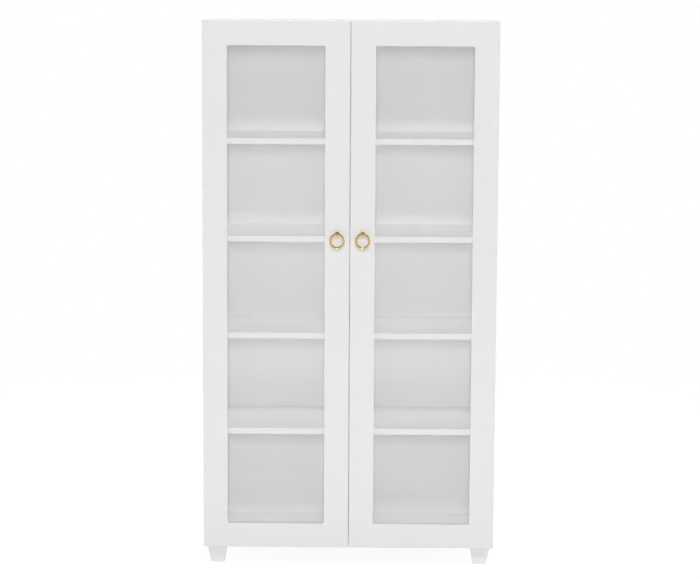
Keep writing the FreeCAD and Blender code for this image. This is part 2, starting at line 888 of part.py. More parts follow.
def draw_cup_slot(sketch, centre_x, radius, half_width):
    """A round opening with two flat sides, as wide between the flats as the links need."""
    reach = math.asin(half_width.number / radius.number)
    centre = FreeCAD.Vector(centre_x.number, 0, 0)
    circle = Part.Circle(centre, FreeCAD.Vector(0, 0, 1), radius.number)
    arcs = [
        sketch.addGeometry(Part.ArcOfCircle(circle, -reach, reach), False),
        sketch.addGeometry(Part.ArcOfCircle(circle, math.pi - reach, math.pi + reach), False),
    ]
    half_chord = radius.number * math.cos(reach)
    flats = []
    for level in (half_width.number, -half_width.number):
        start = FreeCAD.Vector(centre.x + half_chord, level, 0)
        end = FreeCAD.Vector(centre.x - half_chord, level, 0)
        flats.append(sketch.addGeometry(Part.LineSegment(start, end), False))
    join_loop(sketch, arcs[0], flats[0], arcs[1], flats[1])
    for arc in arcs:
        hold(sketch, "DistanceX", arc, CENTRE, centre_x)
        hold(sketch, "DistanceY", arc, CENTRE, 0)
        hold_radius(sketch, arc, radius)
    for flat, sign in zip(flats, (1, -1)):
        hold(sketch, "DistanceY", flat, START, sign * half_width)
        hold(sketch, "DistanceY", flat, END, sign * half_width)
    return sketch


def make_cup(label, side, level):
    body = hinge_body(label, side, level)
    disc = draw_circles(new_sketch(body, "XZ", setback), [(side * cup_x, 0)], size("cup_diameter"))
    add_pad(body, disc, size("cup_depth"))
    wall = size("cup_wall")
    half_length = size("cup_flange_length") / 2
    shoulder = half_length - 2 * wall - size("cup_screw_offset")
    tip = size("cup_screw_head_diameter") / 2 + 2 * wall
    near_edge = board + wall
    rim = cup_x + size("cup_diameter") / 2
    flange = [
        (cup_screw_x - tip, -half_length), (cup_screw_x + tip, -half_length),
        (rim, -shoulder), (rim, shoulder),
        (cup_screw_x + tip, half_length), (cup_screw_x - tip, half_length),
        (near_edge, shoulder), (near_edge, -shoulder),
    ]
    sketch = draw_polygon(new_sketch(body, "XZ", setback), facing_side(side, flange))
    add_pad(body, sketch, size("cup_flange_thickness"), backwards=True)
    beyond_disc = shoulder.number - wall.number

    def on_flange_corner(edge):
        return runs_along(edge, 1) and abs(edge.BoundBox.Center.z) > beyond_disc

    round_edges(body, wall, on_flange_corner)
    cavity = size("cup_diameter") / 2 - wall
    slot = draw_cup_slot(new_sketch(body, "XZ", setback), side * cup_x, cavity, size("cup_slot") / 2)
    cut_pocket(body, slot, size("cup_depth") - size("cup_floor"), backwards=True)
    arm_room = size("arm_width") / 2 + wall / 2
    mouth = draw_rectangle(new_sketch(body, "XZ", setback), 0, -arm_room, side * (rim + 1), arm_room)
    cut_pocket(body, mouth, size("cup_flange_thickness"))
    drill_pin_holes(body, side, [outer_cup_pin, inner_cup_pin], 2 * cup_pin_half_length)
    screws = [(side * cup_screw_x, end * size("cup_screw_pitch") / 2) for end in BOTH_WAYS]
    drill(body, "XZ", setback, screws, hole_for("cup_screw_diameter"), size("cup_flange_thickness"))
    return keep(body)


def make_outer_link(label, side, level):
    """The longer link: two swan-necked cheeks round the door's edge, joined by a web near the arm."""
    body = hinge_body(label, side, level)
    arm_pin = outer_arm_pin
    cup_pin = outer_cup_pin
    eye = size("link_eye")
    cheek = [
        beside(arm_pin, -2.6, 1.0), beside(arm_pin, -5.4, -9.0), beside(cup_pin, 11.2, 2.7),
        beside(cup_pin, 5.5, -1.9), beside(cup_pin, 1.3, 1.5), beside(cup_pin, 1.0, -eye),
        beside(cup_pin, 5.2, -4.9), beside(cup_pin, 9.2, -4.5), beside(cup_pin, 14.6, 1.3),
        beside(arm_pin, -1.6, -9.0), beside(arm_pin, eye, -1.0),
    ]
    sketch = draw_polygon(new_sketch(body, "XY"), facing_side(side, cheek))
    add_pad(body, sketch, size("link_width"), both_ways=True)
    for pin in (arm_pin, cup_pin):
        sketch = draw_circles(new_sketch(body, "XY"), facing_side(side, [pin]), 2 * eye)
        add_pad(body, sketch, size("link_width"), both_ways=True)
    web_face = size("link_web") - 2.6
    web_slant = 2.7
    web_end = -8.8
    clear = 3 * eye
    between_cheeks = [
        beside(arm_pin, web_face, clear), beside(arm_pin, web_face, 0.8),
        beside(arm_pin, web_face - web_slant, web_end), (cup_pin[0] - clear, arm_pin[1] + web_end),
        beside(cup_pin, -clear, -clear), (arm_pin[0] + clear, cup_pin[1] - clear),
        beside(arm_pin, clear, clear),
    ]
    sketch = draw_polygon(new_sketch(body, "XY"), facing_side(side, between_cheeks))
    cut_pocket(body, sketch, size("link_width") - 2 * size("link_plate"), both_ways=True)
    drill_pin_holes(body, side, [arm_pin, cup_pin], size("link_width") + 1)
    return body


def make_inner_link(label, side, level):
    """The shorter link, between the cheeks; its cup end runs free of the cup's pin stubs."""
    body = hinge_body(label, side, level)
    arm_pin = inner_arm_pin
    cup_pin = inner_cup_pin
    width_here = size("inner_link_width")
    strap = [
        beside(cup_pin, 0, 1.15), beside(cup_pin, 7.3, 1.15), beside(cup_pin, 10.4, 2.9),
        beside(arm_pin, -8.8, -4.3), beside(arm_pin, -2.2, 1.4), beside(arm_pin, 2.0, -1.6),
        beside(arm_pin, -8.5, -9.9), beside(cup_pin, 8.5, -1.25), beside(cup_pin, 0, -1.25),
        beside(cup_pin, -0.9, -0.8), beside(cup_pin, -0.9, 0.7),
    ]
    sketch = draw_polygon(new_sketch(body, "XY"), facing_side(side, strap))
    add_pad(body, sketch, width_here, both_ways=True)
    sketch = draw_circles(new_sketch(body, "XY"), facing_side(side, [arm_pin]), 2 * size("link_eye"))
    add_pad(body, sketch, width_here, both_ways=True)
    drill_pin_holes(body, side, [arm_pin], width_here + 1)
    return body


def make_arm(label, side, level):
    """A cranked channel, open towards the side panel, that carries both arm pins in its cheeks."""
    body = hinge_body(label, side, level)
    foot = board + size("plate_thickness") + 3 * play
    front_web = board + size("arm_front_rise")
    wall = size("arm_wall")
    length = size("arm_length")
    nose = inner_arm_pin[1] - 3.1
    crank_start = outer_arm_pin[1] + 2
    crank_end = size("plate_back") - size("plate_block_length") / 2 - 1
    cheek = [
        (foot, length), (foot, outer_arm_pin[1] + 5), beside(outer_arm_pin, -3.4, -1.5),
        (inner_arm_pin[0] - 3.0, nose), (front_web, nose), (front_web, crank_start),
        (arm_rear_web, crank_end), (arm_rear_web, length),
    ]
    sketch = draw_polygon(new_sketch(body, "XY"), facing_side(side, cheek))
    add_pad(body, sketch, size("arm_width"), both_ways=True)
    inside_front = front_web - wall
    inside_rear = arm_rear_web - wall
    channel = [
        (board - 1, length + 1), (board - 1, nose - 1),
        (inside_front, nose - 1), (inside_front, crank_start - wall / 2),
        (inside_rear, crank_end - wall / 2), (inside_rear, length + 1),
    ]
    sketch = draw_polygon(new_sketch(body, "XY"), facing_side(side, channel))
    cut_pocket(body, sketch, size("arm_width") - 2 * wall, both_ways=True)
    drill_pin_holes(body, side, [outer_arm_pin, inner_arm_pin], size("arm_width") + 1)
    screw = [(arm_screw_back, 0)]
    through = {"depth": wall + 2, "backwards": side > 0}
    drill(body, "YZ", side * (inside_rear - 1), screw, hole_for("plate_screw_diameter"), **through)
    return keep(body)


def make_plate(label, side, level):
    """The mounting plate: two wings on the side panel and a block that the arm sits over."""
    body = hinge_body(label, side, level)
    half_length = size("plate_length") / 2
    half_width = size("plate_width") / 2
    back = size("plate_back")
    corner = half_width / 2
    wings = [
        (back - half_width, -half_length + corner), (back - half_width + corner, -half_length),
        (back + half_width - corner, -half_length), (back + half_width, -half_length + corner),
        (back + half_width, half_length - corner), (back + half_width - corner, half_length),
        (back - half_width + corner, half_length), (back - half_width, half_length - corner),
    ]
    sketch = draw_polygon(new_sketch(body, "YZ", side * board), wings)
    add_pad(body, sketch, size("plate_thickness"), backwards=side < 0)
    block_length = size("plate_block_length") / 2
    block_width = size("plate_block_width") / 2
    sketch = draw_rectangle(
        new_sketch(body, "YZ", side * board),
        back - block_length, -block_width, back + block_length, block_width,
    )
    block_height = size("arm_rear_rise") - size("arm_wall")
    add_pad(body, sketch, block_height, backwards=side < 0)
    holes = [(back, end * size("plate_screw_pitch") / 2) for end in BOTH_WAYS]
    holes.append((arm_screw_back, 0))
    hole = hole_for("plate_screw_diameter")
    drill(body, "YZ", side * board, holes, hole, block_height, backwards=side > 0)
    return body


def hinge_pin(side, level, point, low, high):
    """A pin along Z from low to high, both measured from the middle of the hinge."""
    x = outer_x(side) + side * point[0]
    y = case_front + point[1]
    return cylinder(pin_diameter / 2, high - low, x, y, case_bottom + level + low, "+Z")


def hinge_screw(side, level, x, y, rise, head_axis, kind, length):
    """A screw with its head on the point x, y, pointing along head_axis; kind names its sizes."""
    shank_axis = {"+X": "-X", "-X": "+X", "+Y": "-Y"}[head_axis]
    spot = (outer_x(side) + side * x, case_front + y, case_bottom + level + rise)
    radius = size(kind + "_head_diameter") / 2
    head_height = size(kind + "_head_height")
    head = cone(radius, radius - head_height / 2, head_height, *spot, head_axis)
    shank = cylinder(size(kind + "_diameter") / 2, length, *spot, shank_axis)
    return fuse(head, shank)


def make_hinges(name, side):
    """The three hinges of one door; gives back the screws that hold their arms on the plates."""
    inward = along(side)
    arm_half = size("arm_width") / 2
    half = cup_pin_half_length
    cup_screw_y = size("cup_flange_thickness") - setback
    nodes = {
        kind: [] for kind in (
            "outer_links", "inner_links", "plates", "cup_pins", "arm_pins", "cup_screws", "plate_screws")
    }
    arm_screws = []
    for place_name, level in zip(("low", "middle", "high"), hinge_heights):
        tag = "{}_{}".format(name, place_name)
        make_cup("hinge_cup_" + tag, side, level)
        make_arm("hinge_arm_" + tag, side, level)
        nodes["outer_links"].append(make_outer_link("outer_link_" + tag, side, level))
        nodes["inner_links"].append(make_inner_link("inner_link_" + tag, side, level))
        nodes["plates"].append(make_plate("plate_" + tag, side, level))
        nodes["cup_pins"].append(hinge_pin(side, level, outer_cup_pin, -half, half))
        for low, high in ((cup_stub_start, half), (-half, -cup_stub_start)):
            nodes["cup_pins"].append(hinge_pin(side, level, inner_cup_pin, low, high))
        for point in (outer_arm_pin, inner_arm_pin):
            nodes["arm_pins"].append(hinge_pin(side, level, point, -arm_half, arm_half))
        for end in BOTH_WAYS:
            rise = end * size("cup_screw_pitch") / 2
            nodes["cup_screws"].append(hinge_screw(
                side, level, cup_screw_x, cup_screw_y, rise, "+Y", "cup_screw", size("cup_screw_length")))
            rise = end * size("plate_screw_pitch") / 2
            nodes["plate_screws"].append(hinge_screw(
                side, level, board + size("plate_thickness"), size("plate_back"), rise, inward,
                "plate_screw", size("plate_screw_length")))
        arm_screws.append(hinge_screw(
            side, level, arm_rear_web, arm_screw_back, 0, inward, "plate_screw", size("arm_screw_length")))
    for kind, members in nodes.items():
        keep(group("hinge_{}_{}".format(kind, name), members))
    return arm_screws


# ---- the whole bookcase ----

def build():
    for name, side in SIDES:
        make_side(name, side)
    make_cross_board("bottom_panel", board, 0, depth, groove_on="top", leg_bolts=True)
    make_cross_board("top_panel", height, 0, depth, groove_on="bottom")
    make_back()
    for number, top in enumerate(shelf_tops, start=1):
        if number == fixed_shelf:
            make_cross_board("shelf_{}".format(number), top, size("shelf_setback"), back_face)
        else:
            make_loose_shelf(number, top)
    make_joint_fittings()
    make_shelf_supports()
    for name, side in SIDES:
        make_leg("leg_front_" + name, side, 1)
        make_leg("leg_rear_" + name, side, -1)
    make_leg_bolts()
    arm_screws = []
    for name, side in SIDES:
        make_door_frame(name, side)
        make_glass(name, side)
        make_bead(name, side)
        make_bumpers(name, side)
        make_pull_post(name, side)
        make_ring(name, side)
        make_pull_screw(name, side)
        arm_screws.extend(make_hinges(name, side))
    keep(group("hinge_arm_screws", arm_screws))
    doc.recompute()


def check():
    for item in doc.Objects:
        if "Invalid" in item.State or "Error" in item.State:
            raise RuntimeError("{} failed to build".format(item.Label))
    labels = [item.Label for item in sub_parts]
    if len(set(labels)) != len(labels):
        raise RuntimeError("two sub-parts share a label")
    for item in sub_parts:
        if item.Shape.isNull() or not item.Shape.isValid():
            raise RuntimeError("{} has no sound shape".format(item.Label))


def export():
    os.makedirs("parts", exist_ok=True)
    for item in sub_parts:
        item.Shape.exportStep(os.path.join("parts", item.Label + ".step"))


build()
check()
export()
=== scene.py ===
"""Looks of the glass-door bookcase: finishes, small fastener detail, light and camera, all in metres."""
import json
import math

import bmesh
import bpy
from mathutils import Matrix, Vector

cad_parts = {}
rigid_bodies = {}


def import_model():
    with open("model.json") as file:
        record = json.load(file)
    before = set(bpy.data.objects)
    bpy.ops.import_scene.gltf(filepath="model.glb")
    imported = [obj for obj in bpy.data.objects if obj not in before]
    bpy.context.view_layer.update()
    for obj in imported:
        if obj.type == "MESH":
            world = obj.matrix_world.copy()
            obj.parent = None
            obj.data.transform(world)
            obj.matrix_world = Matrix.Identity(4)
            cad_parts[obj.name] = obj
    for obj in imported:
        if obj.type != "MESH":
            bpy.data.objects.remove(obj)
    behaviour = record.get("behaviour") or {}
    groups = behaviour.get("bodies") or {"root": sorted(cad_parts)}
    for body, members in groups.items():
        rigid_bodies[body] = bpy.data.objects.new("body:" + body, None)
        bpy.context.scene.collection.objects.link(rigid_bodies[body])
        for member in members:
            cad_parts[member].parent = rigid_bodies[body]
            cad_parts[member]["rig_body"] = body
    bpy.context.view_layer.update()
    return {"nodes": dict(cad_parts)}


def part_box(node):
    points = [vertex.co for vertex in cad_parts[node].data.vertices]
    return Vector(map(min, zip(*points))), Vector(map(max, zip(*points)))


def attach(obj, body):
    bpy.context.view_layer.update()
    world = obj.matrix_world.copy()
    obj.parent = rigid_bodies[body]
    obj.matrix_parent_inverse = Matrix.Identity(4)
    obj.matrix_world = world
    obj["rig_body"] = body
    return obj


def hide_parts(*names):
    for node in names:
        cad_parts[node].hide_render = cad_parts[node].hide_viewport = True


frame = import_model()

NODES = frame["nodes"]
SIDES = ("left", "right")
MM = 0.001


# ---- camera ----

# Place, angles and lens come from a fit to the photograph's outlines; lens and sensor are in millimetres.
CAMERA_PLACE = Vector((0.0768, -6.7911, 1.7644))
CAMERA_YAW = math.radians(-0.656)
CAMERA_PITCH = math.radians(7.722)
CAMERA_ROLL = math.radians(0.306)
CAMERA_LENS = 111.93
CAMERA_SENSOR = 36.0
CAMERA_REACH = 200.0


def add_camera():
    """Yaw turns the view to the right, pitch tips it down, and roll lifts its right side."""
    data = bpy.data.cameras.new("camera")
    data.sensor_width = CAMERA_SENSOR
    data.sensor_fit = "HORIZONTAL"
    data.lens = CAMERA_LENS
    data.clip_end = CAMERA_REACH
    camera = bpy.data.objects.new("camera", data)
    bpy.context.scene.collection.objects.link(camera)
    forward = Vector((
        math.sin(CAMERA_YAW) * math.cos(CAMERA_PITCH),
        math.cos(CAMERA_YAW) * math.cos(CAMERA_PITCH),
        -math.sin(CAMERA_PITCH),
    ))
    level = Vector((math.cos(CAMERA_YAW), -math.sin(CAMERA_YAW), 0.0))
    upright = level.cross(forward)
    right = math.cos(CAMERA_ROLL) * level + math.sin(CAMERA_ROLL) * upright
    up = math.cos(CAMERA_ROLL) * upright - math.sin(CAMERA_ROLL) * level
    turn = Matrix((right, up, -forward)).transposed()
    camera.matrix_world = Matrix.Translation(CAMERA_PLACE) @ turn.to_4x4()
    bpy.context.scene.camera = camera


# ---- shading ----

class Shading:
    """The node tree of a material or of the world, with short ways to add nodes."""

    def __init__(self, owner, output):
        owner.use_nodes = True
        self.tree = owner.node_tree
        self.tree.nodes.clear()
        self.output = self.node(output)
        self.place = self.node("TexCoord").outputs

    def plug(self, value, socket):
        """Feeds a socket from another one, or sets it to a number, a vector or an opaque colour."""
        if isinstance(value, bpy.types.NodeSocket):
            self.tree.links.new(value, socket)
        elif isinstance(value, tuple):
            socket.default_value = (*value, 1.0)[:len(socket.default_value)]
        else:
            socket.default_value = value

    def node(self, kind, *ordered, settings=None, **named):
        """Adds a node whose inputs are given in their own order or by name, with _ for a space."""
        made = self.tree.nodes.new("ShaderNode" + kind)
        for name, value in (settings or {}).items():
            setattr(made, name, value)
        for socket, value in zip(made.inputs, ordered):
            self.plug(value, socket)
        for name, value in named.items():
            self.plug(value, made.inputs[name.replace("_", " ")])
        return made

    def show(self, shader):
        self.plug(shader.outputs[0], self.output.inputs["Surface"])

    def axis(self, coordinates, letter):
        """One coordinate of a place, a normal or a direction in the object's own frame."""
        return self.node("SeparateXYZ", self.place[coordinates]).outputs[letter]

    def stretched(self, scales):
        """The object's own coordinates in metres, scaled on each axis."""
        return self.node("Mapping", Vector=self.place["Object"], Scale=scales).outputs[0]

    def noise(self, scale, detail=4.0, roughness=0.55, stretch=(1.0, 1.0, 1.0), distortion=0.0):
        return self.node(
            "TexNoise", Vector=self.stretched(stretch), Scale=scale, Detail=detail, Roughness=roughness,
            Distortion=distortion,
        ).outputs["Fac"]

    def cells(self, scale, stretch):
        return self.node("TexVoronoi", Vector=self.stretched(stretch), Scale=scale).outputs

    def ramp(self, source, *stops):
        """Colours or grey levels at places from 0 to 1."""
        made = self.node("ValToRGB", source)
        elements = made.color_ramp.elements
        while len(elements) < len(stops):
            elements.new(0.5)
        for element, (place, colour) in zip(elements, stops):
            element.position = place
            element.color = (*colour, 1.0) if isinstance(colour, tuple) else (colour, colour, colour, 1.0)
        return made.outputs["Color"]

    def level(self, source, low, high, start=0.0, end=1.0, smooth=False):
        """Brings a value that runs from start to end to one that runs from low to high."""
        settings = {"interpolation_type": "SMOOTHSTEP"} if smooth else None
        return self.node("MapRange", source, start, end, low, high, settings=settings).outputs[0]

    def blend(self, share, first, second):
        """A colour mixed between two sockets or colours."""
        made = self.node("Mix", share, settings={"data_type": "RGBA"})
        first_colour, second_colour = made.inputs[6], made.inputs[7]
        self.plug(first, first_colour)
        self.plug(second, second_colour)
        return made.outputs[2]

    def maths(self, operation, *values):
        return self.node("Math", *values, settings={"operation": operation}).outputs[0]

    def bump(self, height, distance, strength=1.0, **under):
        """A roughened normal; Normal may be given as the one that it lies on."""
        return self.node("Bump", Height=height, Distance=distance, Strength=strength, **under).outputs[0]


class Finish(Shading):
    """A material with one Principled shader."""

    def __init__(self, name):
        self.material = bpy.data.materials.new(name)
        super().__init__(self.material, "OutputMaterial")
        self.shader = self.node("BsdfPrincipled")
        self.show(self.shader)

    def made_of(self, **values):
        """Feeds or sets the shader's inputs and gives back the material."""
        for name, value in values.items():
            self.plug(value, self.shader.inputs[name.replace("_", " ")])
        return self.material


def tinted(colour, share):
    """A colour made darker or lighter, with no channel over 1."""
    return tuple(min(1.0, share * channel) for channel in colour)


# ---- finishes ----

WHITE = (0.79, 0.79, 0.788)
# Painted light: the boards' foil inside the case is set whiter than the outer foil, to stand for the light
# that fills the compartments.
INSIDE_WHITE_PAINTED_LIGHT = (0.95, 0.95, 0.948)
# Painted light: the back panel's white paper is set lighter than the outer foil, to stand for the light
# inside the compartments.
BACK_WHITE_PAINTED_LIGHT = (0.89, 0.89, 0.888)
BEAD_WHITE = (0.78, 0.78, 0.775)
BUMPER_WHITE = (0.72, 0.72, 0.70)
NICKEL = (0.60, 0.58, 0.55)
ZINC = (0.50, 0.50, 0.51)
GLASS_TINT = (0.998, 1.0, 0.999)
CHIP_GAP = (0.17, 0.11, 0.06)
CHIP_BROWNS = (0.0, (0.30, 0.20, 0.115)), (0.45, (0.50, 0.37, 0.235)), (1.0, (0.66, 0.53, 0.37))
HARDBOARD_BROWNS = (0.25, (0.19, 0.115, 0.06)), (0.55, (0.31, 0.205, 0.12)), (0.8, (0.42, 0.30, 0.19))
LEG_WHITES = (0.3, (0.86, 0.859, 0.855)), (0.6, (0.89, 0.889, 0.886))
BRASS_GOLDS = (0.25, (0.44, 0.26, 0.035)), (0.45, (0.64, 0.42, 0.075)), (0.78, (0.72, 0.51, 0.125))
BEECH_BROWNS = (0.3, (0.50, 0.33, 0.17)), (0.7, (0.68, 0.50, 0.30))

FOIL_DARK_SIDE = 2.2
FRONT_BAND_SHARE = 0.985

# How far a surface's unit normal must point along an axis for it to face that way.
SQUARELY = 0.9
MOSTLY = 0.5

# Rear-facing surfaces behind this are raw edges; the back panel's groove lies in front of it.
RAW_EDGE_BEHIND = 0.2


def middle_of(node):
    low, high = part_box(node)
    return (low + high) / 2


# A board's surface is inside the case where it lies within the middle planes of the four outer boards.
INSIDE_HALF_WIDTH = middle_of("side_right").x
INSIDE_LOW = middle_of("bottom_panel").z
INSIDE_HIGH = middle_of("top_panel").z
INSIDE_MIDDLE = (INSIDE_LOW + INSIDE_HIGH) / 2
INSIDE_HALF_HEIGHT = (INSIDE_HIGH - INSIDE_LOW) / 2


def foil_colour(finish, white, depth=0.012):
    """White foil: broad uneven tone with a faint fine grain."""
    broad = finish.noise(3.5, detail=3.0)
    fine = finish.noise(900.0, detail=2.0)
    darker = tinted(white, 1.0 - FOIL_DARK_SIDE * depth)
    lighter = tinted(white, 1.0 + depth)
    speck = finish.level(fine, 0.0, 0.35, start=0.35, end=0.75)
    return finish.blend(speck, finish.blend(broad, darker, lighter), darker)


def raw_board(finish):
    """Uncovered chipboard: flat chips of several browns with small dark gaps."""
    chips = finish.cells(420.0, stretch=(1.0, 1.0, 0.45))
    tone = finish.node("SeparateColor", chips["Color"]).outputs[0]
    gaps = finish.ramp(chips["Distance"], (0.0, 1.0), (0.75, 1.0), (1.0, 0.55))
    return finish.blend(gaps, CHIP_GAP, finish.ramp(tone, *CHIP_BROWNS)), chips["Distance"]


def painted_light_inside_case(finish):
    """1 where a board's surface is inside the case and 0 on its outer faces: the mask for the painted light
    that makes the foil whiter inside.
    """
    across = finish.maths("ABSOLUTE", finish.axis("Object", "X"))
    height = finish.maths("SUBTRACT", finish.axis("Object", "Z"), INSIDE_MIDDLE)
    between_sides = finish.maths("LESS_THAN", across, INSIDE_HALF_WIDTH)
    between_boards = finish.maths("LESS_THAN", finish.maths("ABSOLUTE", height), INSIDE_HALF_HEIGHT)
    return finish.maths("MULTIPLY", between_sides, between_boards)


def board_finish(name, raw_rear):
    """Foiled chipboard with a banded front edge; raw_rear bares the rear edge. Inside the case the foil is
    painted whiter, as painted light for the compartments.
    """
    finish = Finish(name)
    facing = finish.axis("Normal", "Y")
    band = finish.maths("LESS_THAN", facing, -SQUARELY)
    # Painted light: surfaces inside the case take the whiter foil.
    colour = finish.blend(painted_light_inside_case(finish), foil_colour(finish, WHITE), foil_colour(finish, INSIDE_WHITE_PAINTED_LIGHT))
    colour = finish.blend(band, colour, tinted(WHITE, FRONT_BAND_SHARE))
    rough = finish.level(finish.noise(40.0), 0.40, 0.52)
    normal = finish.bump(finish.noise(650.0, detail=3.0), 0.06 * MM)
    if raw_rear:
        faces_rear = finish.maths("GREATER_THAN", facing, SQUARELY)
        at_rear = finish.maths("GREATER_THAN", finish.axis("Object", "Y"), RAW_EDGE_BEHIND)
        raw = finish.maths("MULTIPLY", faces_rear, at_rear)
        browns, chips = raw_board(finish)
        colour = finish.blend(raw, colour, browns)
        rough = finish.level(raw, rough, 0.9)
        normal = finish.bump(chips, 0.4 * MM, Normal=normal)
    return finish.made_of(Base_Color=colour, Roughness=rough, Normal=normal, Specular_IOR_Level=0.4)


def back_finish():
    """Thin fibreboard: white paper in front, set lighter than the outer foil as painted light for the
    compartments, and bare brown hardboard at the rear.
    """
    finish = Finish("back_sheet")
    rear = finish.maths("GREATER_THAN", finish.axis("Normal", "Y"), MOSTLY)
    fibre = finish.noise(260.0, detail=8.0, roughness=0.75, stretch=(1.0, 1.0, 0.6))
    brown = finish.ramp(fibre, *HARDBOARD_BROWNS)
    return finish.made_of(
        # The front's white is partly the paper's own colour and partly painted light.
        Base_Color=finish.blend(rear, foil_colour(finish, BACK_WHITE_PAINTED_LIGHT), brown),
        Roughness=finish.level(rear, 0.5, 0.82),
        Normal=finish.bump(fibre, 0.12 * MM, strength=0.6),
        Specular_IOR_Level=0.35,
    )


def door_finish():
    """Satin foil drawn over the routed frame: smoother than the boards."""
    finish = Finish("door_foil")
    ripple = finish.level(finish.noise(22.0, detail=2.0), 0.0, 0.6)
    grain = finish.level(finish.noise(1100.0, detail=2.0), 0.0, 0.4)
    return finish.made_of(
        Base_Color=foil_colour(finish, WHITE, depth=0.007),
        Roughness=finish.level(finish.noise(9.0), 0.30, 0.38),
        Normal=finish.bump(finish.maths("ADD", ripple, grain), 0.05 * MM),
        Specular_IOR_Level=0.45,
    )


def leg_finish():
    """Brushed white paint on solid wood: the grain tells faintly through it."""
    finish = Finish("leg_paint")
    grain = finish.noise(160.0, detail=5.0, roughness=0.6, stretch=(1.0, 1.0, 0.08), distortion=0.6)
    strokes = finish.noise(900.0, detail=2.0, stretch=(1.0, 1.0, 0.05))
    height = finish.maths("ADD", finish.level(grain, 0.0, 0.7), finish.level(strokes, 0.0, 0.3))
    return finish.made_of(
        Base_Color=finish.ramp(grain, *LEG_WHITES),
        Roughness=finish.level(strokes, 0.38, 0.5),
        Normal=finish.bump(height, 0.12 * MM),
    )


def brass_finish():
    """Polished brass with fine turning marks, duller and rougher where tarnish has taken."""
    finish = Finish("polished_brass")
    polish = finish.noise(140.0, detail=6.0, roughness=0.65)
    marks = finish.noise(2600.0, detail=2.0, stretch=(0.25, 1.0, 1.0))
    return finish.made_of(
        Base_Color=finish.ramp(polish, *BRASS_GOLDS),
        Roughness=finish.level(polish, 0.20, 0.09, start=0.3, end=0.7),
        Normal=finish.bump(marks, 0.02 * MM),
        Metallic=1.0,
    )


def steel_finish(name, colour, roughness, stretch=(1.0, 1.0, 1.0)):
    """Nickel or zinc plate over pressed steel: rolling lines and cloudy plating."""
    finish = Finish(name)
    cloud = finish.noise(90.0, detail=4.0)
    lines = finish.noise(1900.0, detail=2.0, stretch=stretch)
    return finish.made_of(
        Base_Color=finish.blend(cloud, tinted(colour, 0.82), tinted(colour, 1.08)),
        Roughness=finish.level(cloud, roughness - 0.06, roughness + 0.08),
        Normal=finish.bump(lines, 0.03 * MM),
        Metallic=1.0,
    )


def moulded_finish(name, colour, roughness, see_through=0.0):
    """Extruded or moulded plastic: a soft sheen and a fine die texture."""
    finish = Finish(name)
    die = finish.noise(1500.0, detail=2.0, stretch=(1.0, 1.0, 0.1))
    broad = finish.noise(30.0)
    return finish.made_of(
        Base_Color=finish.blend(broad, tinted(colour, 0.96), colour),
        Roughness=finish.level(broad, roughness - 0.05, roughness + 0.05),
        Normal=finish.bump(die, 0.02 * MM),
        Transmission_Weight=see_through,
    )


def dowel_finish():
    """Plain beech with its grain along the dowel."""
    finish = Finish("beech")
    grain = finish.noise(500.0, detail=5.0, stretch=(0.06, 1.0, 1.0), distortion=0.8)
    return finish.made_of(
        Base_Color=finish.ramp(grain, *BEECH_BROWNS), Roughness=0.7, Normal=finish.bump(grain, 0.1 * MM),
    )


def glass_finish():
    """Clear float glass that lets the lamps through to the shelves."""
    finish = Finish("clear_glass")
    path = finish.node("LightPath").outputs
    lamp = finish.maths("MAXIMUM", path["Is Shadow Ray"], path["Is Diffuse Ray"])
    clear = finish.node("BsdfTransparent", Color=GLASS_TINT)
    finish.show(finish.node("MixShader", lamp, finish.shader.outputs[0], clear.outputs[0]))
    return finish.made_of(
        Base_Color=GLASS_TINT,
        Roughness=finish.level(finish.noise(7.0), 0.0, 0.012),
        Normal=finish.bump(finish.noise(1.6, detail=1.0), 0.1 * MM),
        Transmission_Weight=1.0,
        IOR=1.45,
    )


def dress(material, *names):
    for name in names:
        for slot in NODES[name].material_slots:
            slot.material = material


def both(name):
    return [name + side for side in SIDES]


def dress_hinges(nickel):
    pairs = ("plates", "outer_links", "inner_links", "cup_pins", "arm_pins", "cup_screws", "plate_screws")
    for part in pairs:
        dress(nickel, *both("hinge_{}_".format(part)))
    for side in SIDES:
        for place in ("low", "middle", "high"):
            dress(nickel, "hinge_cup_{}_{}".format(side, place), "hinge_arm_{}_{}".format(side, place))
    dress(nickel, "hinge_arm_screws")


def dress_bookcase():
    carcass = board_finish("carcass_board", raw_rear=True)
    shelf = board_finish("shelf_board", raw_rear=False)
    dress(carcass, "side_left", "side_right", "top_panel", "bottom_panel")
    dress(shelf, "shelf_1", "shelf_2", "shelf_3", "shelf_4")
    dress(back_finish(), "back_panel")
    dress(door_finish(), *both("door_frame_"))
    dress(glass_finish(), *both("glass_"))
    dress(moulded_finish("bead_plastic", BEAD_WHITE, 0.4), *both("glazing_bead_"))
    dress(moulded_finish("bumper_plastic", BUMPER_WHITE, 0.5, see_through=0.3), *both("door_bumpers_"))
    dress(leg_finish(), *both("leg_front_"), *both("leg_rear_"))
    dress(brass_finish(), *both("pull_post_"), *both("pull_ring_"))
    nickel = steel_finish("nickel_plate", NICKEL, 0.27, stretch=(1.0, 0.08, 1.0))
    zinc = steel_finish("zinc", ZINC, 0.42)
    dress(zinc, "cam_locks", "cam_bolts", "leg_bolts", *both("pull_screw_"))
    dress(nickel, "shelf_supports")
    dress_hinges(nickel)
    dress(dowel_finish(), "dowels")


# ---- driver recesses in the heads that can be reached with the doors open ----

TO_REAR = Vector((0, 1, 0))
DOWN = Vector((0, 0, -1))
CROSS_BAR_SHARE = 0.24
CROSS_FLOOR_SHARE = 0.5
CUTTER_SHARE = 1.05
CUTTER_CLEARANCE = 0.2 * MM
WELD_DISTANCE = 0.001 * MM
SHARP_ANGLE = math.radians(35)


